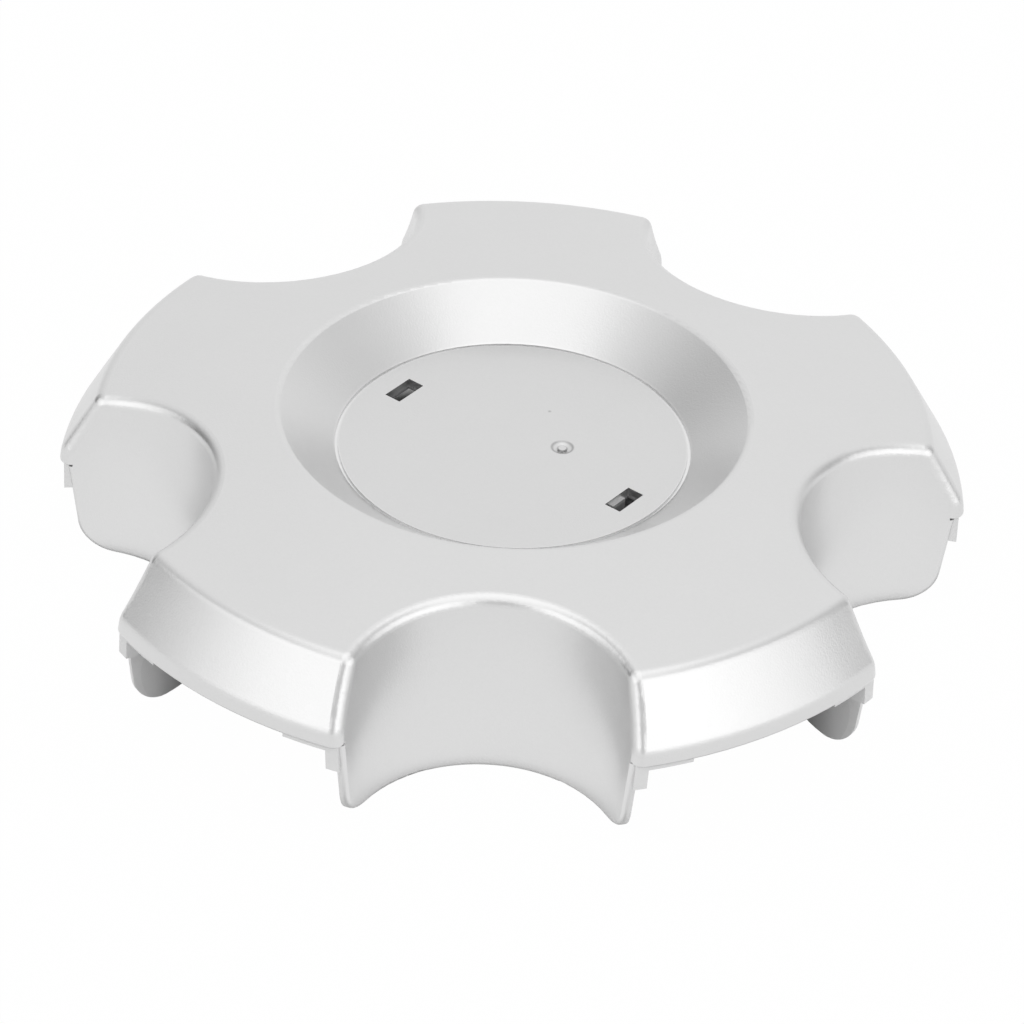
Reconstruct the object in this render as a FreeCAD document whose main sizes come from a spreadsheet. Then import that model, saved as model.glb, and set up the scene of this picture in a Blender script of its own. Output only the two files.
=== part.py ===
import FreeCAD, Part
import math
import os
import re
import Sketcher

# Wheel centre cap: one moulded shell with five lobes between five wheel nut notches.
# Millimetres. The origin is on the wheel's axis, level with the feet of the notch walls, and +Z
# points out of the wheel. The first notch faces -Y. The shell is what lies between a cavity and
# a core, as in its mould: both are turned about the axis and have the nut notches taken out as
# cones, the core's larger by one notch wall. The skirts, rails, tabs, fingers, ribs and hook walls
# are then joined to it.

os.makedirs("parts", exist_ok=True)
doc = FreeCAD.newDocument("CentreCap")

sizes = {
    # lobes and nut notches, whose walls lean outwards for the mould
    "notch_count": 5,
    "nut_circle_radius": 75.0,
    "notch_foot_radius": 22.1,
    "notch_draft": 2.6,
    "notch_wall": 1.5,
    "notch_round": 2.0,
    # crowned face, the bevel outside it and the lip below
    "crown_height": 35.6,
    "crown_radius": 478.0,
    "rim_radius": 76.25,
    "rim_height": 16.7,
    "lip_height": 2.9,
    "lip_draft": 0.3,
    "bevel_run": 6.25,
    "face_round": 2.6,
    "bend_round": 4.0,
    "rim_round": 0.7,
    # walls of the moulding
    "roof_wall": 2.0,
    "bevel_wall": 2.3,
    "lip_wall": 2.0,
    # dish with the flat seat of the badge
    "seat_radius": 29.8,
    "seat_drop": 9.0,
    "dish_run": 9.5,
    "dish_round": 1.5,
    "dish_wall": 0.8,
    "groove_width": 0.6,
    "groove_depth": 0.35,
    # skirts that carry the notch walls down to the wheel
    "skirt_inset": 1.65,
    "skirt_draft": 2.3,
    "skirt_round": 6.5,
    "skirt_edge_round": 0.7,
    # slots for the two hooks of the badge
    "slot_length": 6.3,
    "slot_width": 3.1,
    "slot_circle_radius": 23.6,
    "slot_angle": 144.0,
    "hook_wall": 1.3,
    "hook_wall_length": 3.2,
    "hook_wall_drop": 4.0,
    "hook_wall_step": 0.6,
    # dimple that the moulding gate leaves on the seat
    "gate_radius": 1.9,
    "gate_depth": 0.5,
    "gate_offset": 8.3,
    "gate_stub_radius": 0.7,
    "gate_stub_height": 0.35,
    # stop rails behind the lip and the tabs at their ends
    "rail_wall": 1.3,
    "rail_inset": 0.9,
    "rail_drop": 1.0,
    "rail_gap": 27.4,
    "tab_wall": 1.5,
    "tab_drop": 4.6,
    # snap fingers that grip the bore of the wheel
    "finger_circle_radius": 50.0,
    "finger_width": 9.0,
    "finger_wall": 2.0,
    "finger_angle": 9.0,
    "finger_foot": 1.5,
    "barb_depth": 1.6,
    "barb_height": 7.0,
    "gusset_run": 4.0,
    "gusset_drop": 14.0,
    # ribs under the lobes
    "rib_wall": 1.4,
    "rib_depth": 6.0,
}

# What follows from the sizes above
derived = {
    "bend_height": "rim_height + lip_height",
    "bend_radius": "rim_radius - lip_draft",
    "face_radius": "rim_radius - lip_draft - bevel_run",
    "dish_radius": "seat_radius + dish_run",
    "seat_height": "crown_height - seat_drop",
    "skirt_radius": "rim_radius - skirt_inset",
    "collar_height": "rim_height + 2 * rim_round",
}

sheet = doc.addObject("Spreadsheet::Sheet", "Sizes")
for row, (name, size) in enumerate(sizes.items(), start=1):
    sheet.set(f"A{row}", name)
    sheet.set(f"B{row}", str(size))
    sheet.setAlias(f"B{row}", name)
doc.recompute()


def bound(text):
    """Turns the names of sizes in an expression into references to the sheet."""

    def reference(found):
        name = found[0]
        if name in derived:
            return f"({bound(derived[name])})"
        return f"Sizes.{name}" if name in sizes else name

    return re.sub(r"[a-z]+(_[a-z]+)*", reference, text)


def number(text):
    """Works an expression on the sizes out."""
    return float(sheet.evalExpression(bound(text)))


def crown(radius):
    """Height of the crowned face at a radius, as an expression."""
    return f"(crown_height - crown_radius + sqrt(crown_radius ^ 2 - ({radius}) ^ 2))"


def make_body(name):
    body = doc.addObject("PartDesign::Body", name)
    body.Label = name
    return body


def datum(body, role):
    """One of the body's own origin planes or axes."""
    return next(f for f in body.Origin.OriginFeatures if f.Role == role)


def make_sketch(body, name, plane, lift="0", turn="0"):
    """A sketch on an origin plane, lifted along the plane's normal and turned about the cap's axis."""
    sketch = body.newObject("Sketcher::SketchObject", name)
    sketch.AttachmentSupport = (datum(body, plane), [""])
    sketch.MapMode = "FlatFace"
    about = FreeCAD.Vector(0, 0, 1) if plane == "XY_Plane" else FreeCAD.Vector(0, 1, 0)
    sketch.AttachmentOffset = FreeCAD.Placement(
        FreeCAD.Vector(0, 0, number(lift)), FreeCAD.Rotation(about, number(turn)))
    sketch.setExpression("AttachmentOffset.Base.z", bound(lift))
    sketch.setExpression("AttachmentOffset.Rotation.Angle", bound(turn))
    return sketch


def pin_point(sketch, curve, end, x, y):
    """Fixes one end of a curve at two expressions, or on an axis where an expression is 0."""
    for text, kind, axis in ((x, "DistanceX", -2), (y, "DistanceY", -1)):
        if text == "0":
            sketch.addConstraint(Sketcher.Constraint("PointOnObject", curve, end, axis))
        else:
            index = sketch.addConstraint(Sketcher.Constraint(kind, -1, 1, curve, end, number(text)))
            sketch.setExpression(f"Constraints[{index}]", bound(text))


def bind_radius(sketch, curve, radius):
    index = sketch.addConstraint(Sketcher.Constraint("Radius", curve, number(radius)))
    sketch.setExpression(f"Constraints[{index}]", bound(radius))


def draw_arc(sketch, centre, start, stop):
    """An arc that runs counter-clockwise from start to stop."""
    circle = Part.Circle(centre, FreeCAD.Vector(0, 0, 1), (start - centre).Length)
    return sketch.addGeometry(Part.ArcOfCircle(circle, circle.parameter(start), circle.parameter(stop)), False)


def draw_outline(sketch, corners, arcs=(), rounds=None):
    """A closed outline through corners, drawn counter-clockwise. arcs lists the sides that bend
    about the axis, and rounds gives the radius of each corner that is rounded by a tangent arc."""
    rounds = rounds or {}
    points = [FreeCAD.Vector(number(x), number(y), 0) for x, y in corners]
    count = len(points)
    leave, arrive, middle = list(points), list(points), {}
    for corner, radius in rounds.items():
        back = (points[corner - 1] - points[corner]).normalize()
        ahead = (points[(corner + 1) % count] - points[corner]).normalize()
        half = back.getAngle(ahead) / 2
        trim = number(radius) / math.tan(half)
        arrive[corner] = points[corner] + back * trim
        leave[corner] = points[corner] + ahead * trim
        middle[corner] = points[corner] + (back + ahead).normalize() * (number(radius) / math.sin(half))
    curves = []
    for side in range(count):
        start, stop = leave[side], arrive[(side + 1) % count]
        if side in arcs:
            centre_y = (stop.y**2 + stop.x**2 - start.y**2 - start.x**2) / (2 * (stop.y - start.y))
            curves.append(draw_arc(sketch, FreeCAD.Vector(0, centre_y, 0), start, stop))
            sketch.addConstraint(Sketcher.Constraint("PointOnObject", curves[-1], 3, -2))
        else:
            curves.append(sketch.addGeometry(Part.LineSegment(start, stop), False))
    for corner in range(count):
        before, after = curves[corner - 1], curves[corner]
        if corner not in rounds:
            sketch.addConstraint(Sketcher.Constraint("Coincident", before, 2, after, 1))
            pin_point(sketch, after, 1, *corners[corner])
            continue
        tip = sketch.addGeometry(Part.Point(points[corner]), True)
        pin_point(sketch, tip, 1, *corners[corner])
        sketch.addConstraint(Sketcher.Constraint("PointOnObject", tip, 1, before))
        sketch.addConstraint(Sketcher.Constraint("PointOnObject", tip, 1, after))
        bend = draw_arc(sketch, middle[corner], arrive[corner], leave[corner])
        sketch.addConstraint(Sketcher.Constraint("Tangent", before, 2, bend, 1))
        sketch.addConstraint(Sketcher.Constraint("Tangent", bend, 2, after, 1))
        bind_radius(sketch, bend, rounds[corner])


def box_corners(x_low, x_high, y_low, y_high):
    return [(x_low, y_low), (x_high, y_low), (x_high, y_high), (x_low, y_high)]


def revolve(body, sketch):
    """Turns a profile once about the cap's axis."""
    turned = body.newObject("PartDesign::Revolution", sketch.Name + "_turned")
    turned.Profile = sketch
    turned.ReferenceAxis = (sketch, ["V_Axis"])
    turned.Angle = 360
    return turned


def pad(body, sketch, length, midplane=False):
    raised = body.newObject("PartDesign::Pad", sketch.Name + "_pad")
    raised.Profile = sketch
    raised.Midplane = midplane
    raised.setExpression("Length", bound(length))
    return raised


def cut_through(body, sketch):
    """Cuts a sketch through the whole body, both ways."""
    hole = body.newObject("PartDesign::Pocket", sketch.Name + "_cut")
    hole.Profile = sketch
    hole.Type = "ThroughAll"
    hole.Midplane = True
    return hole


def notch_cone(body, kind, name, foot_radius, height):
    """A cone about the axis of the front notch, from its foot up, that widens with the draft."""
    cone = body.newObject(f"PartDesign::{kind}Cone", name)
    cone.AttachmentSupport = (datum(body, "XY_Plane"), [""])
    cone.MapMode = "FlatFace"
    cone.setExpression("AttachmentOffset.Base.y", bound("-nut_circle_radius"))
    cone.setExpression("Radius1", bound(foot_radius))
    cone.setExpression("Radius2", bound(f"{foot_radius} + ({height}) * tan(notch_draft * 1 deg)"))
    cone.setExpression("Height", bound(height))
    return cone


def repeat(body, features, count="notch_count"):
    """Repeats features evenly round the cap's axis."""
    pattern = body.newObject("PartDesign::PolarPattern", features[-1].Name + "_ring")
    pattern.Originals = features
    pattern.Axis = (datum(body, "Z_Axis"), [""])
    pattern.Angle = 360
    pattern.setExpression("Occurrences", bound(count))
    body.Tip = pattern
    return pattern


def round_edges(body, base, chosen, radius):
    """Rounds the edges of a body's feature that the test picks."""
    doc.recompute()
    names = [f"Edge{i}" for i, edge in enumerate(base.Shape.Edges, start=1) if chosen(edge)]
    if not names:
        raise RuntimeError(f"no edge to round on {base.Name}")
    rounded = body.newObject("PartDesign::Fillet", base.Name + "_rounded")
    rounded.Base = (base, names)
    rounded.setExpression("Radius", bound(radius))
    return rounded


fifth = FreeCAD.Rotation(FreeCAD.Vector(0, 0, 1), 360 / number("notch_count"))
notch_centres = [FreeCAD.Vector(0, -number("nut_circle_radius"), 0)]
for _ in range(int(number("notch_count")) - 1):
    notch_centres.append(fifth.multVec(notch_centres[-1]))


def on_notch_side(vertex):
    """Tells a point on the side of a notch that faces the wheel nut."""
    level = FreeCAD.Vector(vertex.X, vertex.Y, 0)
    away = min(centre.distanceToPoint(level) for centre in notch_centres)
    return abs(away - number("notch_foot_radius") - vertex.Z * math.tan(math.radians(number("notch_draft")))) < 1e-3


def is_notch_edge(edge):
    """Tells the edges where a nut notch meets the outside, and not the ones level with the rim."""
    return edge.BoundBox.ZMax > number("rim_height") + 0.01 and all(on_notch_side(v) for v in edge.Vertexes)


def is_lip_foot(edge):
    """Tells the bottom edges of the lip, with the rounded corners at its ends."""
    box = edge.BoundBox
    reach = max((v.X**2 + v.Y**2) ** 0.5 for v in edge.Vertexes)
    return abs(box.ZMax - number("rim_height")) < 1e-3 and box.ZLength < 1e-3 and reach > number("rim_radius - 1")


def is_skirt_edge(edge):
    """Tells the edges on the nut's side of a skirt, at its ends and its foot."""
    return edge.BoundBox.ZMin < number("rim_height") - 0.01 and all(on_notch_side(v) for v in edge.Vertexes)


# Cavity: the outside of the cap as far down as the rim, turned from its half section. The lip, the
# bend, the bevel, the face, the dish's edge and the dish follow each other inwards.
cavity = make_body("cavity")
outside = make_sketch(cavity, "outside", "YZ_Plane")
draw_outline(outside, [
    ("0", "rim_height"),
    ("rim_radius", "rim_height"),
    ("bend_radius", "bend_height"),
    ("face_radius", crown("face_radius")),
    ("dish_radius", crown("dish_radius")),
    ("seat_radius", "seat_height"),
    ("seat_radius", "seat_height - groove_depth"),
    ("seat_radius - groove_width", "seat_height - groove_depth"),
    ("seat_radius - groove_width", "seat_height"),
    ("0", "seat_height"),
], arcs=[3], rounds={2: "bend_round", 3: "face_round", 4: "dish_round"})
revolve(cavity, outside)
notch = notch_cone(cavity, "Subtractive", "nut_notch", "notch_foot_radius", "crown_height")
notched = repeat(cavity, [notch])
rounded = round_edges(cavity, notched, is_notch_edge, "notch_round")
rounded = round_edges(cavity, rounded, is_lip_foot, "rim_round")

# Two slots in the seat, opposite each other, for the hooks of the badge.
slot = make_sketch(cavity, "badge_slot", "XY_Plane", turn="slot_angle")
draw_outline(slot, box_corners("slot_circle_radius - slot_width / 2", "slot_circle_radius + slot_width / 2",
                               "-slot_length / 2", "slot_length / 2"))
repeat(cavity, [cut_through(cavity, slot)], count="2")

# Core: the inside of the shell, open at the rim.
core = make_body("core")
inside = make_sketch(core, "inside", "YZ_Plane")
draw_outline(inside, [
    ("0", "rim_height - roof_wall"),
    ("rim_radius - lip_wall", "rim_height - roof_wall"),
    ("rim_radius - lip_wall", "rim_height"),
    ("bend_radius - bevel_wall", "bend_height"),
    ("face_radius - bevel_wall / 2", crown("face_radius") + " - roof_wall"),
    ("dish_radius + dish_wall", crown("dish_radius") + " - roof_wall"),
    ("seat_radius + dish_wall", "seat_height - roof_wall"),
    ("0", "seat_height - roof_wall"),
], arcs=[4])
revolve(core, inside)
repeat(core, [notch_cone(core, "Subtractive", "notch_wall_side", "notch_foot_radius + notch_wall", "crown_height")])

shell = doc.addObject("Part::Cut", "shell")
shell.Base = cavity
shell.Tool = core

# Skirts: the notch walls go on below the rim down to the wheel. A turned outline with drawn in
# sides and rounded corners trims their ends, and the edges on the nut's side are then rounded.
walls = make_body("skirt_walls")
wall_sides = [
    notch_cone(walls, "Additive", "skirt_lobe_side", "notch_foot_radius + notch_wall", "collar_height"),
    notch_cone(walls, "Subtractive", "skirt_nut_side", "notch_foot_radius", "collar_height"),
]
repeat(walls, wall_sides)


def trim_walls(name, corners, rounds=None):
    """What of the notch walls lies within an outline turned about the cap's axis."""
    limit = make_body(name + "_limit")
    outline = make_sketch(limit, name + "_outline", "YZ_Plane")
    draw_outline(outline, corners, rounds=rounds)
    revolve(limit, outline)
    trimmed = doc.addObject("Part::Common", name)
    trimmed.Base = walls
    trimmed.Tool = limit
    return trimmed


sharp_skirts = trim_walls("sharp_skirts", [
    ("0", "0"),
    ("skirt_radius - skirt_draft", "0"),
    ("skirt_radius", "rim_height"),
    ("0", "rim_height"),
], rounds={1: "skirt_round"})
skirts = make_body("skirts")
skirts.BaseFeature = sharp_skirts
doc.recompute()
round_edges(skirts, skirts.Group[0], is_skirt_edge, "skirt_edge_round")

# Collars: the same walls a little further up, where they close the round of the lip's foot that
# runs on along the notches.
collars = trim_walls("collars", [
    ("0", "rim_height"),
    ("skirt_radius - skirt_edge_round", "rim_height"),
    ("skirt_radius - notch_round / 2", "collar_height"),
    ("0", "collar_height"),
])

# Stop rails: a low ridge behind the lip at both corners of each lobe, left out in its middle.
rails = make_body("rails")
rail = make_sketch(rails, "rail", "YZ_Plane")
draw_outline(rail, box_corners("rim_radius - lip_wall - rail_wall", "rim_radius - rail_inset",
                               "rim_height - rail_drop", "rim_height + rail_wall"))
revolve(rails, rail)
rail_middle = make_sketch(rails, "rail_middle", "XY_Plane")
draw_outline(rail_middle, box_corners("-rail_gap / 2", "rail_gap / 2", "nut_circle_radius / 2",
                                      "nut_circle_radius * 2"))
rail_end = notch_cone(rails, "Subtractive", "rail_end", "notch_foot_radius + notch_wall / 2", "crown_height")
repeat(rails, [cut_through(rails, rail_middle), rail_end])

# Tabs: where a rail meets a notch wall it drops further down as a short tab beside that wall.
tab_ring = make_body("tab_ring")
tab = make_sketch(tab_ring, "tab", "YZ_Plane")
draw_outline(tab, box_corners("rim_radius - lip_wall - rail_wall", "rim_radius - rail_inset",
                              "rim_height - tab_drop", "rim_height + rail_wall"))
revolve(tab_ring, tab)
tab_limit = make_body("tab_limit")
tab_sides = [
    notch_cone(tab_limit, "Additive", "tab_lobe_side", "notch_foot_radius + notch_wall + tab_wall", "crown_height"),
    notch_cone(tab_limit, "Subtractive", "tab_nut_side", "notch_foot_radius + notch_wall / 2", "crown_height"),
]
repeat(tab_limit, tab_sides)
tabs = doc.addObject("Part::Common", "tabs")
tabs.Base = tab_ring
tabs.Tool = tab_limit

# Snap fingers: two under each lobe, with a barb at the foot and a gusset at the root behind.
fingers = make_body("fingers")
finger_parts = []
root_height = crown("finger_circle_radius") + " - roof_wall / 2"
for side, turned_by in (("left", "finger_angle"), ("right", "-finger_angle")):
    finger = make_sketch(fingers, f"finger_{side}", "YZ_Plane", turn=turned_by)
    draw_outline(finger, [
        ("finger_circle_radius - finger_wall", "finger_foot"),
        ("finger_circle_radius", "finger_foot"),
        ("finger_circle_radius + barb_depth", "finger_foot + barb_height * 0.6"),
        ("finger_circle_radius", "finger_foot + barb_height"),
        ("finger_circle_radius", root_height),
        ("finger_circle_radius - finger_wall", root_height),
    ])
    finger_parts.append(pad(fingers, finger, "finger_width", midplane=True))
    gusset = make_sketch(fingers, f"gusset_{side}", "YZ_Plane", turn=turned_by)
    draw_outline(gusset, [
        ("finger_circle_radius - finger_wall / 2", crown("finger_circle_radius") + " - gusset_drop"),
        ("finger_circle_radius - finger_wall / 2", root_height),
        ("finger_circle_radius - finger_wall - gusset_run", root_height),
    ])
    finger_parts.append(pad(fingers, gusset, "rib_wall", midplane=True))
repeat(fingers, finger_parts)

# Ribs: a plate under the middle of each lobe, from the dish out to the lip. Its outer edges run
# in the middle of the walls that it meets.
ribs = make_body("ribs")
rib = make_sketch(ribs, "rib", "YZ_Plane")
draw_outline(rib, [
    ("seat_radius + dish_wall + roof_wall / 2", "seat_height - roof_wall / 2"),
    ("face_radius - bevel_wall - rib_depth", crown("face_radius") + " - roof_wall - rib_depth"),
    ("rim_radius - lip_wall / 2", "rim_height + rib_wall"),
    ("bend_radius - bevel_wall / 2", "bend_height"),
    ("face_radius - bevel_wall / 2", crown("face_radius") + " - roof_wall / 2"),
    ("dish_radius + dish_wall", crown("dish_radius") + " - roof_wall / 2"),
])
repeat(ribs, [pad(ribs, rib, "rib_wall", midplane=True)])

# Hook walls: a short wall under the inner side of each slot, which the badge's hook bears on.
hook_walls = make_body("hook_walls")
hook_wall = make_sketch(hook_walls, "hook_wall", "XY_Plane", lift="seat_height - roof_wall - hook_wall_drop",
                        turn="slot_angle")
hook_face = "slot_circle_radius - slot_width / 2 + hook_wall_step"
draw_outline(hook_wall, box_corners(hook_face + " - hook_wall", hook_face,
                                    "-hook_wall_length / 2", "hook_wall_length / 2"))
repeat(hook_walls, [pad(hook_walls, hook_wall, "hook_wall_drop + roof_wall / 2")], count="2")

moulding = doc.addObject("Part::MultiFuse", "moulding")
moulding.Shapes = [shell, skirts, collars, rails, tabs, fingers, ribs, hook_walls]
moulding.Refine = True

# Gate mark: a shallow round dimple in the seat with the broken off stub of the runner in it.
dimple = doc.addObject("Part::Sphere", "gate_dimple")
ball = "((gate_radius ^ 2 + gate_depth ^ 2) / (2 * gate_depth))"
dimple.setExpression("Radius", bound(ball))
dimple.setExpression("Placement.Base.x", bound("gate_offset"))
dimple.setExpression("Placement.Base.z", bound(f"seat_height - gate_depth + {ball}"))
dimpled = doc.addObject("Part::Cut", "dimpled")
dimpled.Base = moulding
dimpled.Tool = dimple
stub = doc.addObject("Part::Cylinder", "gate_stub")
stub.setExpression("Radius", bound("gate_stub_radius"))
stub.setExpression("Height", bound("gate_stub_height + roof_wall / 2"))
stub.setExpression("Placement.Base.x", bound("gate_offset"))
stub.setExpression("Placement.Base.z", bound("seat_height - gate_depth - roof_wall / 2"))

cap = doc.addObject("Part::Fuse", "center_cap")
cap.Base = dimpled
cap.Tool = stub
cap.Label = "center_cap"
doc.recompute()

failed = [o.Name for o in doc.Objects if "Invalid" in o.State or "Error" in o.State]
if failed:
    raise RuntimeError(f"features that failed: {failed}")
if cap.Shape.isNull() or not cap.Shape.isValid() or len(cap.Shape.Solids) != 1:
    raise RuntimeError(f"the cap is not one valid solid: {len(cap.Shape.Solids)}")
print("center_cap", round(cap.Shape.Volume, 1), "mm3", cap.Shape.BoundBox)
cap.Shape.exportStep(f"parts/{cap.Label}.step")
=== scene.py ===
import math

import bpy
import numpy as np
from mathutils import Matrix, Vector

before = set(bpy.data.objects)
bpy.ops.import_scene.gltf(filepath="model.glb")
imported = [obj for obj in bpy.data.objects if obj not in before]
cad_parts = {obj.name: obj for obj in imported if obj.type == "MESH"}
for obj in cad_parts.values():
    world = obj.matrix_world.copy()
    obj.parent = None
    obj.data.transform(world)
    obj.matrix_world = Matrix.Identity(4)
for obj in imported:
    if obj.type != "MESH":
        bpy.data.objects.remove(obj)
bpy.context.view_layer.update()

# Wheel centre cap
# One shell of dark ABS, injection moulded in one shot, gate mark and all. Its outside is then
# sprayed with silver flake paint, which stops in a soft mist where the walls turn inwards.
MM = 0.001
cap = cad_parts["center_cap"]

CROWN_HEIGHT = 35.6 * MM
CROWN_RADIUS = 478.0 * MM
ROOF_WALL = 2.0 * MM
SEAT_RADIUS = 29.8 * MM
SEAT_HEIGHT = 26.6 * MM
DISH_SLOPE = 0.777
BEND_RADIUS = 75.95 * MM
BEND_HEIGHT = 19.6 * MM
BEVEL_LEAN = 0.574
BEVEL_HALF_WALL = 1.2 * MM
LIP_LEAN = 0.103
LIP_HALF_WALL = 0.8 * MM
LIP_FOOT = 16.1 * MM
NUT_CIRCLE_RADIUS = 75.0 * MM
NOTCH_FOOT_RADIUS = 22.1 * MM
NOTCH_DRAFT = math.radians(2.6)
NOTCH_WALL = 1.5 * MM
NOTCH_COUNT = 5
GROOVE_WIDTH = 0.6 * MM
GATE_OFFSET = 8.3 * MM
GATE_RADIUS = 1.75 * MM
STUB_RADIUS = 0.8 * MM
NIB_X = 5.7 * MM
NIB_Y = 10.2 * MM

# The line where the spray ends stands farthest out at this height, and bends inwards from there.
SPRAY_RADIUS = 71.6 * MM
SPRAY_HEIGHT = 7.0 * MM
SPRAY_BEND = 45.0

SILVER = (0.72, 0.72, 0.72, 1.0)
BARE_PLASTIC = (0.22, 0.22, 0.225, 1.0)


class Value:
    """A number that changes over a surface. It wraps a node's output, and sums and products of
    values add Math nodes."""

    def __init__(self, socket):
        self.socket = socket

    @staticmethod
    def node(tree, kind, settings=None, **inputs):
        """Adds a node: its settings come first, then the values or links of its sockets, by name
        or, for sockets that share a name, by place as in _0."""
        made = tree.nodes.new(kind)
        for name, setting in (settings or {}).items():
            setattr(made, name, setting)
        for name, given in inputs.items():
            key = int(name[1:]) if name[0] == "_" else name.replace("_", " ")
            if isinstance(given, Value):
                tree.links.new(given.socket, made.inputs[key])
            else:
                made.inputs[key].default_value = given
        return made

    def math(self, operation, *others, clamp=False):
        tree = self.socket.id_data
        terms = {f"_{place}": other for place, other in enumerate((self, *others))}
        made = Value.node(tree, "ShaderNodeMath", {"operation": operation, "use_clamp": clamp}, **terms)
        return Value(made.outputs[0])

    def __add__(self, other):
        return self.math("ADD", other)

    __radd__ = __add__

    def __sub__(self, other):
        return self.math("SUBTRACT", other)

    def __rsub__(self, other):
        return (self * -1.0) + other

    def __mul__(self, other):
        return self.math("MULTIPLY", other)

    __rmul__ = __mul__

    def __truediv__(self, other):
        return self.math("DIVIDE", other)

    def __pow__(self, power):
        return self.math("POWER", power)

    def __or__(self, other):
        """The larger of two masks."""
        return self.math("MAXIMUM", other)

    def __and__(self, other):
        """The smaller of two masks."""
        return self.math("MINIMUM", other)

    def above(self, edge, softness):
        """0 below an edge and 1 above it, with a ramp as wide as the softness between."""
        return ((self - edge) / softness + 0.5).math("ADD", 0.0, clamp=True)


def new_material(name):
    material = bpy.data.materials.new(name)
    material.use_nodes = True
    tree = material.node_tree
    tree.nodes.clear()
    return material, tree


def from_notch(x, y):
    """The distance of a place from the middle of the nearest nut notch."""
    radius = (x * x + y * y).math("SQRT")
    turn = x.math("ARCTAN2", y * -1.0).math("PINGPONG", math.pi / NOTCH_COUNT)
    return (radius * radius + NUT_CIRCLE_RADIUS**2
            - radius * turn.math("COSINE") * (2 * NUT_CIRCLE_RADIUS)).math("SQRT")


def noise(spot, scale, detail):
    """Soft random tones over a surface, from 0 to 1."""
    made = Value.node(spot.socket.id_data, "ShaderNodeTexNoise", Vector=spot, Scale=scale, Detail=detail)
    return Value(made.outputs["Fac"])


silver_on_plastic, tree = new_material("silver_on_plastic")
spot = Value(Value.node(tree, "ShaderNodeTexCoord").outputs["Object"])
axes = Value.node(tree, "ShaderNodeSeparateXYZ", Vector=spot)
x, y, z = (Value(axes.outputs[name]) for name in "XYZ")
radius = (x * x + y * y).math("SQRT")

# The middle of the wall parts the painted side from the bare one.
crown_middle = ((CROWN_RADIUS**2 - radius * radius).math("SQRT")
                + (CROWN_HEIGHT - CROWN_RADIUS - ROOF_WALL / 2))
dish_middle = (radius - SEAT_RADIUS).math("MAXIMUM", 0.0) * DISH_SLOPE + (SEAT_HEIGHT - ROOF_WALL / 2)
top_side = (z - (crown_middle & dish_middle)).above(-0.5 * MM, 0.6 * MM)
bevel_middle = (BEND_RADIUS - BEVEL_HALF_WALL) - (z - BEND_HEIGHT) * BEVEL_LEAN
lip_middle = (BEND_RADIUS - LIP_HALF_WALL) - (z - BEND_HEIGHT) * LIP_LEAN
outer_side = (radius - (bevel_middle & lip_middle)).above(0.0, 0.3 * MM) & z.above(LIP_FOOT, 0.6 * MM)
wall_depth = from_notch(x, y) - z * math.tan(NOTCH_DRAFT) - NOTCH_FOOT_RADIUS
notch_side = 1.0 - wall_depth.above(NOTCH_WALL * 0.55, 0.3 * MM)

# The spray reaches round the ends of the notch walls, to a line a few millimetres in, and a thin
# mist of it goes farther. There it lands dry and dull.
cloud = noise(spot, 300.0, 3.0)
spray_line = (SPRAY_RADIUS - (z - SPRAY_HEIGHT) * (z - SPRAY_HEIGHT) * SPRAY_BEND
              + (cloud - 0.5) * (0.4 * MM))
sprayed_end = (radius - spray_line).above(0.0, 0.35 * MM)
mist = radius.above(63.0 * MM, 12.0 * MM) * 0.9
painted = top_side | outer_side | notch_side
coated = painted | sprayed_end | mist

# Silver flake: fine cells that each lie a little differently, under a satin finish
flake = Value.node(tree, "ShaderNodeTexVoronoi", Vector=spot, Scale=2600.0)
flake_parts = Value.node(tree, "ShaderNodeSeparateColor", Color=Value(flake.outputs["Color"]))
flake_tone = Value(flake_parts.outputs[0])
soft_tone = noise(spot, 90.0, 3.0)
shade = 0.985 + (flake_tone - 0.5) * 0.012 + (soft_tone - 0.5) * 0.02

# Painted shade and highlight: the sunk seat is coloured a little darker, most towards its rear
# edge, and the groove round the seat is coloured lighter, a painted highlight that shows it bright.
in_seat = 1.0 - radius.above(SEAT_RADIUS, 0.4 * MM)
in_groove = 1.0 - (radius - (SEAT_RADIUS - GROOVE_WIDTH / 2)).math("ABSOLUTE") / GROOVE_WIDTH
at_rear_edge = y.above(27.5 * MM, 5.0 * MM)
shade = shade - in_seat * (at_rear_edge * 0.06 + 0.025) + in_groove.math("MAXIMUM", 0.0) * 0.2

# Painted shade: the rim of the gate mark and the foot of its stub are darkened, as shade falls in
# these crevices. One nib of dust lies under the paint.
gate_away = ((x - GATE_OFFSET) * (x - GATE_OFFSET) + y * y).math("SQRT")
gate_rim = 1.0 - (gate_away - GATE_RADIUS).math("ABSOLUTE") / (0.35 * MM)
stub_foot = 1.0 - (gate_away - STUB_RADIUS).math("ABSOLUTE") / (0.25 * MM)
nib_away = ((x - NIB_X) * (x - NIB_X) + (y - NIB_Y) * (y - NIB_Y)).math("SQRT")
nib = 1.0 - nib_away / (0.4 * MM)
shade = shade * (1.0 - (gate_rim | stub_foot | nib).math("MAXIMUM", 0.0) * 0.4)
paint_tint = Value.node(tree, "ShaderNodeCombineColor", Red=shade * SILVER[0], Green=shade * SILVER[1],
                        Blue=shade * SILVER[2])
colour = Value.node(tree, "ShaderNodeMix", {"data_type": "RGBA"}, Factor=coated, _6=BARE_PLASTIC,
                    _7=Value(paint_tint.outputs[0]))

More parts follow.
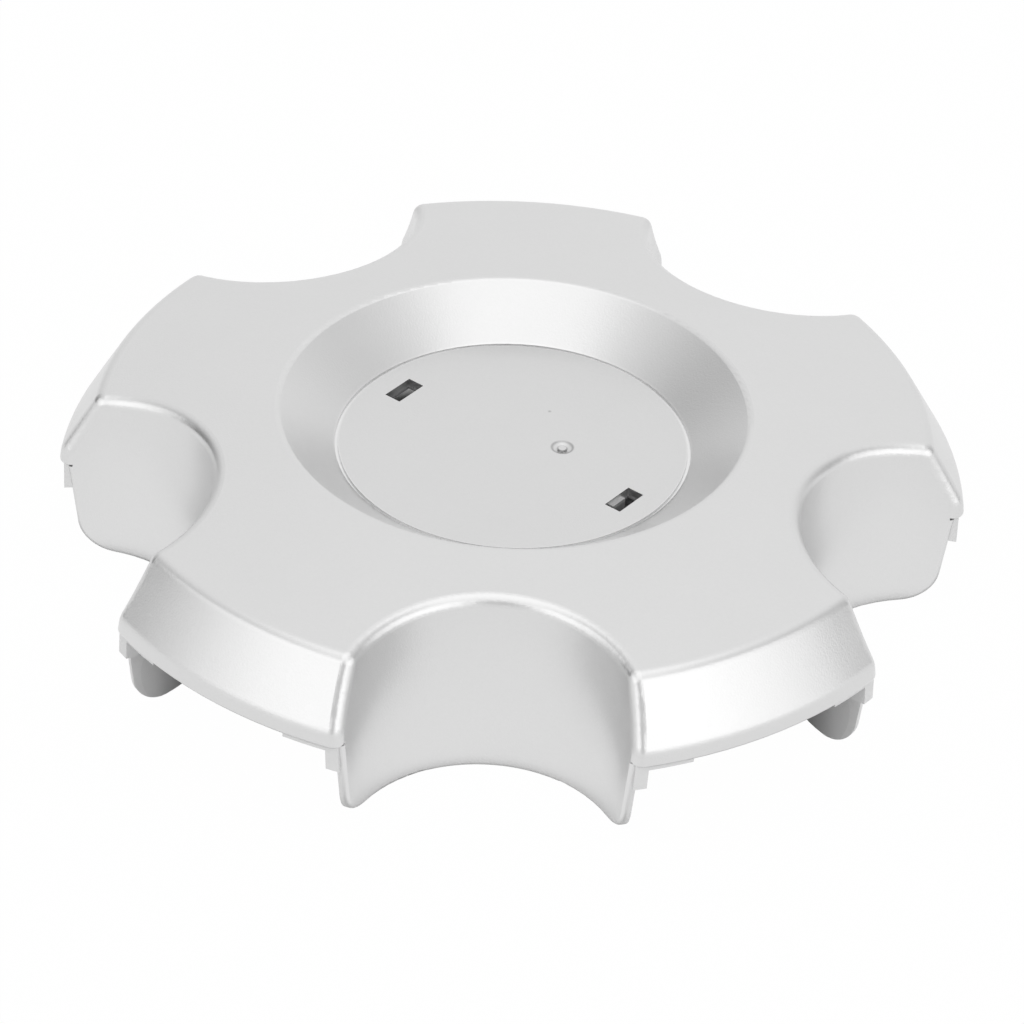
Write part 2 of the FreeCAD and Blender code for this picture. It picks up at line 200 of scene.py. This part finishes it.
# The flakes give the paint a fine grain, which shows where the light on it changes fast.
grain = noise(spot, 3000.0, 2.0)
bump = Value.node(tree, "ShaderNodeBump", Strength=0.45, Distance=0.05 * MM, Height=grain)
finish = Value.node(
    tree, "ShaderNodeBsdfPrincipled",
    Base_Color=Value(colour.outputs[2]),
    Metallic=painted,
    Roughness=0.50 - painted * 0.20 + (cloud - 0.5) * 0.03,
    Normal=Value(bump.outputs[0]),
)
finish.inputs["Specular IOR Level"].default_value = 0.5
Value.node(tree, "ShaderNodeOutputMaterial", Surface=Value(finish.outputs[0]))
cap.data.materials.clear()
cap.data.materials.append(silver_on_plastic)

# Studio
# A white sheet under the cap, a white room round it and three soft boxes. Seen directly, the room
# is plain white, and so is the sheet, but for the round part of it that shows through the slots,
# which is matt. Reflections show the sheet white only where the cap doesn't cover it.
FLOOR_SIZE = 6.0
COVERED_RADIUS = 78.0 * MM
THROUGH_SLOTS_RADIUS = 45.0 * MM
THROUGH_SLOTS_Y = 15.0 * MM


def sheet_grid(size, count):
    """A level square grid: x and y run from -size / 2 to size / 2, z is 0."""
    line = np.linspace(-size / 2, size / 2, count)
    gx, gy = np.meshgrid(line, line, indexing="ij")
    points = np.stack([gx, gy, np.zeros_like(gx)], axis=-1).reshape(-1, 3)
    first = (np.arange(count - 1)[:, None] * count + np.arange(count - 1)).ravel()
    faces = np.stack([first, first + count, first + count + 1, first + 1], axis=-1)
    return points, faces


floor_points, floor_faces = sheet_grid(FLOOR_SIZE, 9)
floor_mesh = bpy.data.meshes.new("floor")
floor_mesh.from_pydata(floor_points.tolist(), [], floor_faces.tolist())
floor = bpy.data.objects.new("floor", floor_mesh)
bpy.context.scene.collection.objects.link(floor)
paper, tree = new_material("white_paper")
spot = Value(Value.node(tree, "ShaderNodeTexCoord").outputs["Object"])
axes = Value.node(tree, "ShaderNodeSeparateXYZ", Vector=spot)
x, y = Value(axes.outputs["X"]), Value(axes.outputs["Y"])
slots_away = (x * x + (y - THROUGH_SLOTS_Y) * (y - THROUGH_SLOTS_Y)).math("SQRT")
beyond = slots_away.above(THROUGH_SLOTS_RADIUS, 8.0 * MM)
around = (x * x + y * y).math("SQRT").above(COVERED_RADIUS, 6.0 * MM)
in_notch = 1.0 - from_notch(x, y).above(20.8 * MM, 3.0 * MM)
rays = Value.node(tree, "ShaderNodeLightPath").outputs
mirrored = around * 0.85 | in_notch | 0.15
seen = Value(rays["Is Camera Ray"]) * beyond * 0.99 | Value(rays["Is Glossy Ray"]) * mirrored
glow = Value.node(tree, "ShaderNodeEmission", Color=(1.0, 1.0, 1.0, 1.0), Strength=1.0)
matt = Value.node(tree, "ShaderNodeBsdfDiffuse", Color=(0.68, 0.68, 0.68, 1.0))
blend = Value.node(tree, "ShaderNodeMixShader", _0=seen, _1=Value(matt.outputs[0]),
                   _2=Value(glow.outputs[0]))
Value.node(tree, "ShaderNodeOutputMaterial", Surface=Value(blend.outputs[0]))
floor_mesh.materials.append(paper)


def towards(azimuth, elevation):
    """A direction by its degrees to the right of the front and above the floor."""
    turn, rise = math.radians(azimuth), math.radians(elevation)
    return Vector((math.sin(turn) * math.cos(rise), -math.cos(turn) * math.cos(rise), math.sin(rise)))


world = bpy.data.worlds.new("white_room")
bpy.context.scene.world = world
world.use_nodes = True
tree = world.node_tree
tree.nodes.clear()
way = Value(Value.node(tree, "ShaderNodeTexCoord").outputs["Generated"])


def patch(azimuth, elevation, sharpness):
    """A round soft patch of the room that fades from 1 at its middle."""
    alike = Value.node(tree, "ShaderNodeVectorMath", {"operation": "DOT_PRODUCT"}, _0=way,
                       _1=towards(azimuth, elevation))
    return ((Value(alike.outputs["Value"]) - 1.0) * sharpness).math("EXPONENT")


dark_left = patch(-99, 6, 5.6) * 0.92
dark_right = patch(91, 19, 8.1) * 0.52
dark_front = patch(0, 25, 8.1) * 0.37
ceiling = patch(0, 90, 3.0) * 0.09
room = 0.97 - dark_left - dark_right - dark_front + ceiling
direct = Value(Value.node(tree, "ShaderNodeLightPath").outputs["Is Camera Ray"])
sky = Value.node(tree, "ShaderNodeBackground", Color=(1.0, 1.0, 1.0, 1.0),
                 Strength=(room - direct * room) + direct)
Value.node(tree, "ShaderNodeOutputWorld", Surface=Value(sky.outputs[0]))

BOX_DISTANCE = 1.5


def soft_box(name, azimuth, elevation, half_width, half_height, radiance):
    """A lamp as a soft box, whose half sizes are seen from the cap as angles in degrees. Its power
    is radiance * pi * area."""
    lamp = bpy.data.lights.new(name, "AREA")
    lamp.shape = "RECTANGLE"
    lamp.size = 2 * BOX_DISTANCE * math.tan(math.radians(half_width))
    lamp.size_y = 2 * BOX_DISTANCE * math.tan(math.radians(half_height))
    lamp.energy = radiance * math.pi * lamp.size * lamp.size_y
    box = bpy.data.objects.new(name, lamp)
    bpy.context.scene.collection.objects.link(box)
    box.location = towards(azimuth, elevation) * BOX_DISTANCE
    box.rotation_euler = towards(azimuth, elevation).to_track_quat("Z", "Y").to_euler()
    return box


soft_box("box_above_front", 0, 68.6, 28, 35, 0.34)
soft_box("box_left", -60, 22, 35, 20, 0.60)
soft_box("box_right", 50, 16, 35, 24, 0.64)

# Camera
# A long lens from above the front notch, tilted a little
AIM = Vector((0.6 * MM, -8.1 * MM, 18.5 * MM))
DISTANCE = 854.9 * MM
AZIMUTH = math.radians(1.38)
ELEVATION = math.radians(36.0)
ROLL = math.radians(2.68)
LENS = 180.4

back = Vector((math.sin(AZIMUTH) * math.cos(ELEVATION), -math.cos(AZIMUTH) * math.cos(ELEVATION),
               math.sin(ELEVATION)))
level = Vector((math.cos(AZIMUTH), math.sin(AZIMUTH), 0.0))
right = level * math.cos(ROLL) + back.cross(level) * math.sin(ROLL)
turned = Matrix((right, back.cross(right), back)).transposed()
camera = bpy.data.objects.new("camera", bpy.data.cameras.new("camera"))
camera.data.lens = LENS
camera.matrix_world = Matrix.Translation(AIM + back * DISTANCE) @ turned.to_4x4()
bpy.context.scene.collection.objects.link(camera)
bpy.context.scene.camera = camera
bpy.context.scene.view_settings.view_transform = "Standard"
